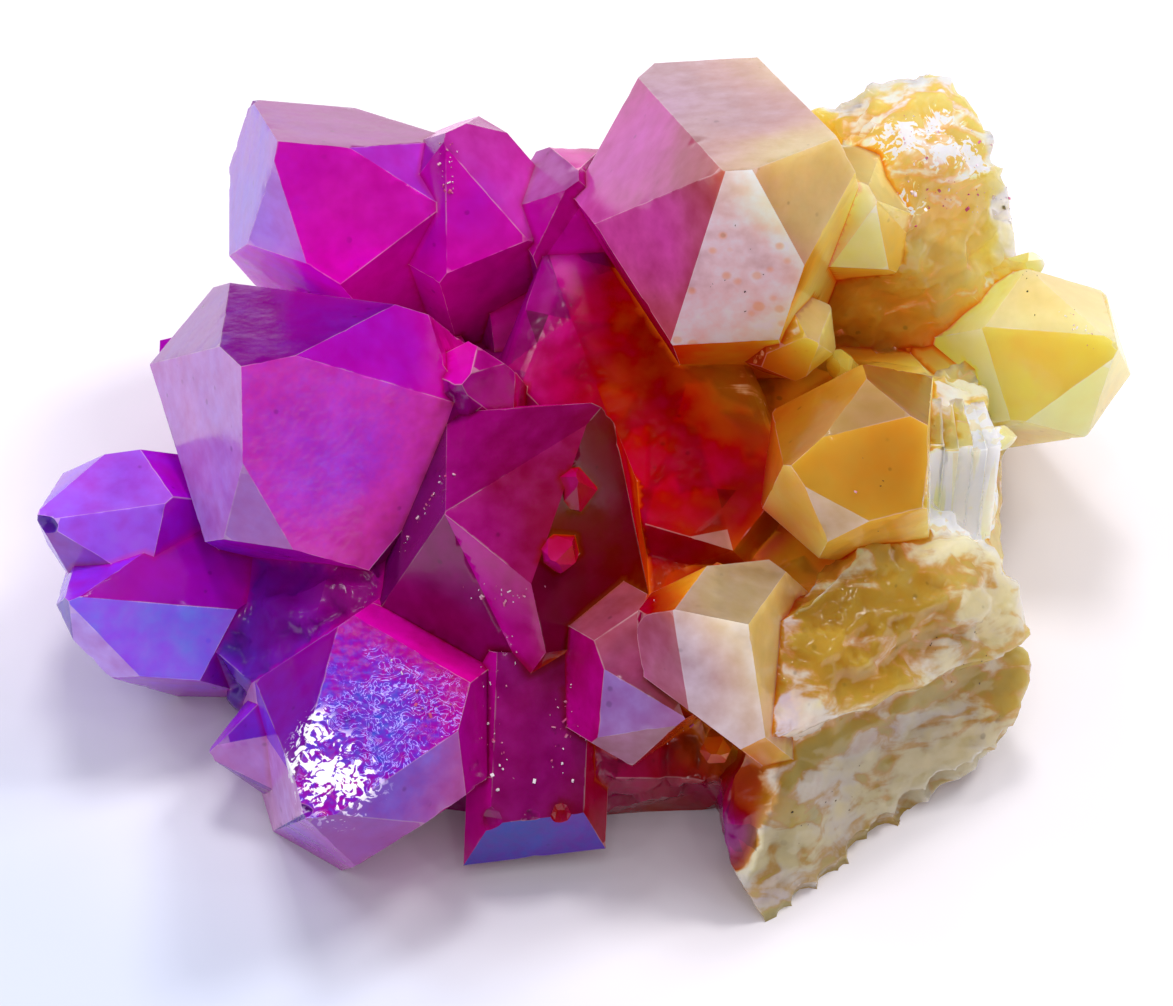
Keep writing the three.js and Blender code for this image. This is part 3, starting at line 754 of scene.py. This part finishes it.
drift = cloud(170.0, 3.0)
mottle = cloud(620.0, 3.0)
speckle = cloud(1900.0, 2.0)
scratch = cloud(900.0, 3.0, warp=2.5)
streak = cloud(420.0, 4.0, warp=0.9, turn=BREAK_TURN, stretch=SHELL_STRETCH)
hue = cloud(140.0, 2.0, turn=BREAK_TURN, stretch=HUE_STRETCH)
grain = marked("grain")
thickness = (marked("film") + FILM_DRIFT * (drift - 0.5) + FILM_MOTTLE * (mottle - 0.5)
             + grain * (FILM_GRAIN * (speckle - 0.5)))
film_colour = start.node("ValToRGB", {"stops": FILM_COLOURS}, {"Fac": thickness})
edge_line = (marked("worn").between(0.8, 1.0) * (mottle + drift).between(0.8, 1.1)) * 0.35
colour = edge_line.blend(film_colour, EDGE)
cover = marked("pearly")
stria = cloud(1500.0, 1.0, stretch=FIBRE_STRETCH)
column = cover.between(1.2, 1.5)
pearl = ((1.1 * streak + 0.5 * mottle + 0.5 * cover).between(0.94, 1.26)
         * cover.between(0.02, 0.12))
pearl_hue = hue + 0.3 * (mottle - 0.5)
pearl_colour = start.node("ValToRGB", {"stops": PEARL_COLOURS}, {"Fac": pearl_hue})
colour = (pearl.between(0.0, 0.35) * 0.6).blend(colour, RIM)
colour = (pearl.between(0.15, 0.9) * 0.9).blend(colour, pearl_colour)
colour = column.blend(colour, stria.between(0.40, 0.50).blend(COLUMN_LINE, COLUMN))
painted_sheen_colour = start.node("ValToRGB", {"stops": PAINTED_SHEEN_COLOURS}, {"Fac": thickness})
pock = start.node("TexVoronoi", {}, {"Vector": start.node("TexCoord", {}, {}, "Object"),
                                     "Scale": 640.0, "Randomness": 1.0})
pit = marked("bloom").between(0.78, 0.82) * (1 - (pock + 0.45 * drift).between(0.34, 0.50))
freckle = (1 - (pock + 0.4 * mottle).between(0.24, 0.34)) * drift.between(0.46, 0.58)
# Painted reflection: a pale sheen laid over the film's colour on the faces that have it.
bloom = start.node("Clamp", {}, {"Value": marked("bloom") * (0.55 + 0.9 * mottle)})
colour = bloom.blend(colour, painted_sheen_colour)
colour = (pit * 0.6).blend(colour, PIT)
# Painted reflection: blue flecks along fine lines on grainy faces stand in for their glitter.
line = 1 - start.maths("ABSOLUTE", scratch - 0.5).between(0.0, 0.03)
painted_fleck = grain.between(0.3, 0.9) * line * drift.between(0.44, 0.52)
colour = painted_fleck.blend(colour, PAINTED_FLECK_BLUE)
# Painted glints: white specks on the etched patches, brighter than the rest.
painted_glint = start.node("Clamp", {}, {"Value": marked("glitter") * 1.5}) * (
    0.8 * scratch + 0.5 * mottle + 0.13 * marked("glitter")).between(0.74, 0.79)
colour = painted_glint.blend(colour, PAINTED_GLINT_WHITE)
# The tone carries the painted light of sheltered places, the hollow and the columns, and the
# painted glints.
tone = (marked("tone") * (1 - 0.5 * grain * (1 - painted_fleck)) * (0.80 + 0.4 * mottle)
        * (1 - 0.3 * freckle) * (1 + 1.2 * painted_glint)
        * (1 - 0.25 * marked("broken") * (1 - pearl)))
colour = start.node("VectorMath", {"operation": "SCALE"}, {0: colour, "Scale": tone})
colour = start.node("VectorMath", {"operation": "MINIMUM"}, {0: colour, 1: BRIGHTEST})
tooth = cloud(1400.0, 1.0)
shell = cloud(520.0, 2.0, turn=BREAK_TURN, stretch=SHELL_STRETCH)
height = (1.0 + GRAIN_TOOTH * grain) * tooth
height += marked("broken") * (BREAK_SHELL * shell + BREAK_TOOTH * tooth)
relief = start.node("Bump", {}, {
    "Height": height, "Strength": RELIEF_SHARE, "Distance": RELIEF,
})
matte = start.node("BsdfPrincipled", {}, {
    "Base Color": colour, "Roughness": 0.7, "Specular IOR Level": 0.0,
})
gloss = start.node("BsdfPrincipled", {}, {
    "Base Color": colour, "Roughness": SMOOTHEST + ROUGHER * mottle, "IOR": FILM_IOR,
    "Normal": relief,
})
# Painted glow: the foot's rim and the columns give off light in their own colour.
painted_glow_colour = start.node("VectorMath", {"operation": "SCALE"}, {0: colour, "Scale": marked("lit")})
clear = start.node("BsdfPrincipled", {}, {
    "Base Color": colour, "Roughness": SMOOTHEST + ROUGHER * mottle, "IOR": QUARTZ_IOR,
    "Normal": relief, "Emission Color": painted_glow_colour, "Emission Strength": 1.0,
    "Subsurface Weight": 1.0, "Subsurface Radius": (1.0, 0.9, 0.7), "Subsurface Scale": SCATTER,
})
pane = start.node("BsdfPrincipled", {}, {
    "Base Color": colour, "Roughness": 0.03, "IOR": QUARTZ_IOR, "Transmission Weight": 1.0,
    "Normal": relief,
})
coat = start.node("MixShader", {}, {"Fac": marked("polish"), 1: matte, 2: gloss})
stone_skin = start.node("MixShader", {}, {"Fac": PANE, 1: clear, 2: pane})
skin = start.node("MixShader", {}, {"Fac": marked("straw"), 1: coat, 2: stone_skin})
inside = start.node("VolumeAbsorption", {}, {"Color": (0.95, 0.80, 0.50, 1), "Density": 60.0})
start.node("OutputMaterial", {}, {"Surface": skin, "Volume": inside}, None)
stone_mesh.materials.append(coated)

# ---- The grains ------------------------------------------------------------------------------
# Chips of quartz caught in the clefts between the points, and a little dark dust. The chips
# broke off as the cluster was handled, and took the coating's place where they stuck. Their pale
# colour is painted glints.
CHIP_TRAILS = (
    ((-13, -8.5, 15.1), (-9.2, -6.2, 21.4), 20, 0.8),
    ((-7.5, -13.1, 16.6), (-3.2, -13.8, 18), 20, 0.9),
    ((-6.9, -16.5, 11.8), (-6.4, -22.3, 7.3), 26, 1.3),
    ((-7, -16, 12), (-5, -14, 14), 8, 1.0),
    ((-1.7, -17.9, 11.5), (-2.5, -22.3, 7.2), 26, 1.5),
    ((4, -16.6, 20.9), (6.2, -19.1, 8), 20, 0.8),
    ((-10.1, 19.8, 26.3), (-10.1, 16.4, 22.5), 26, 0.4),
    ((-14.2, -16.5, 14), (-9.4, -22.1, 12.8), 20, 2.0),
    ((20.5, 18.5, 27.9), (27.2, 18.7, 25.7), 46, 1.6),
    ((21.1, 15, 25.7), (28.3, 16.8, 22.6), 46, 1.6),
    ((32.3, 9.5, 19.4), (34.8, 6.3, 19.4), 14, 0.6),
    ((17.1, -11.2, 25.4), (17.1, -11.2, 25.4), 1, 0.0),
)
DUST_TRAILS = (
    ((22, -12, 12), (27, -14.3, 7.5), 16, 3.0),
    ((11.2, -26.2, 3.5), (17.4, -20.5, 4.7), 12, 2.5),
    ((32.3, 9.5, 19.4), (28.3, 16.8, 22.6), 12, 2.5),
    ((10, 6, 30), (9, 4, 25), 8, 2.0),
    ((17.1, -11.2, 25.4), (22.6, -4, 20.8), 10, 2.5),
)
CHIP_SIDES = (0.08, 0.36)
DUST_SIDES = (0.07, 0.17)
laid_stone = BVHTree.FromPolygons(
    [Vector(spot) for spot in placed],
    [tuple(corner_vert[first:first + 3]) for first in range(0, len(corner_vert), 3)],
)
chance = np.random.default_rng(11)


def scatter(name, trails, sides):
    """Sharp little grains, half sunk in the stone along each trail."""
    grains = bmesh.new()
    for begin, end, count, spread in trails:
        for along in chance.random(count):
            guess = Vector(begin).lerp(Vector(end), along)
            guess += Vector(chance.normal(0, spread / 2, 3))
            spot, outward = laid_stone.find_nearest(guess)[:2]
            if spot.z < 1:
                continue
            chip = bmesh.ops.create_cube(grains, size=1.0)["verts"]
            size = sides[0] + (sides[1] - sides[0]) * chance.random() ** 3
            wide, thin = chance.uniform(0.25, 0.7, 2)
            bmesh.ops.scale(grains, vec=(size, size * wide, size * thin), verts=chip)
            for axis, turn in zip("XYZ", chance.uniform(0, 2 * math.pi, 3)):
                bmesh.ops.rotate(grains, matrix=Matrix.Rotation(turn, 3, axis), verts=chip)
            bmesh.ops.translate(grains, vec=spot + outward * size * 0.1, verts=chip)
    bmesh.ops.scale(grains, vec=(MM, MM, MM), verts=grains.verts)
    mesh = bpy.data.meshes.new(name)
    grains.to_mesh(mesh)
    grains.free()
    piece = bpy.data.objects.new(name, mesh)
    bpy.context.scene.collection.objects.link(piece)
    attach(piece, "root")
    return mesh


def grain_finish(name, mesh, dark, light, roughness, weight):
    made = bpy.data.materials.new(name)
    made.use_nodes = True
    made.node_tree.nodes.clear()
    begin = Wire(made.node_tree, None)
    where = begin.node("TexCoord", {}, {}, "Object")
    patch = begin.node("TexNoise", {}, {"Vector": where, "Scale": 700.0, "Detail": 2.0})
    skin = begin.node("BsdfPrincipled", {}, {
        "Base Color": patch.between(0.44, 0.60).blend(dark, light), "Roughness": roughness,
        "IOR": QUARTZ_IOR, "Coat Weight": weight, "Coat Roughness": 0.05,
    })
    begin.node("OutputMaterial", {}, {"Surface": skin}, None)
    mesh.materials.append(made)


chips = scatter("quartz_chips", CHIP_TRAILS, CHIP_SIDES)
grain_finish("chips_with_painted_glints", chips, (0.62, 0.10, 0.25, 1), (1.0, 0.94, 0.97, 1), 0.15, 1.0)
dust = scatter("dark_dust", DUST_TRAILS, DUST_SIDES)
grain_finish("iron_dust", dust, (0.02, 0.012, 0.01, 1), (0.10, 0.05, 0.02, 1), 0.8, 0.0)
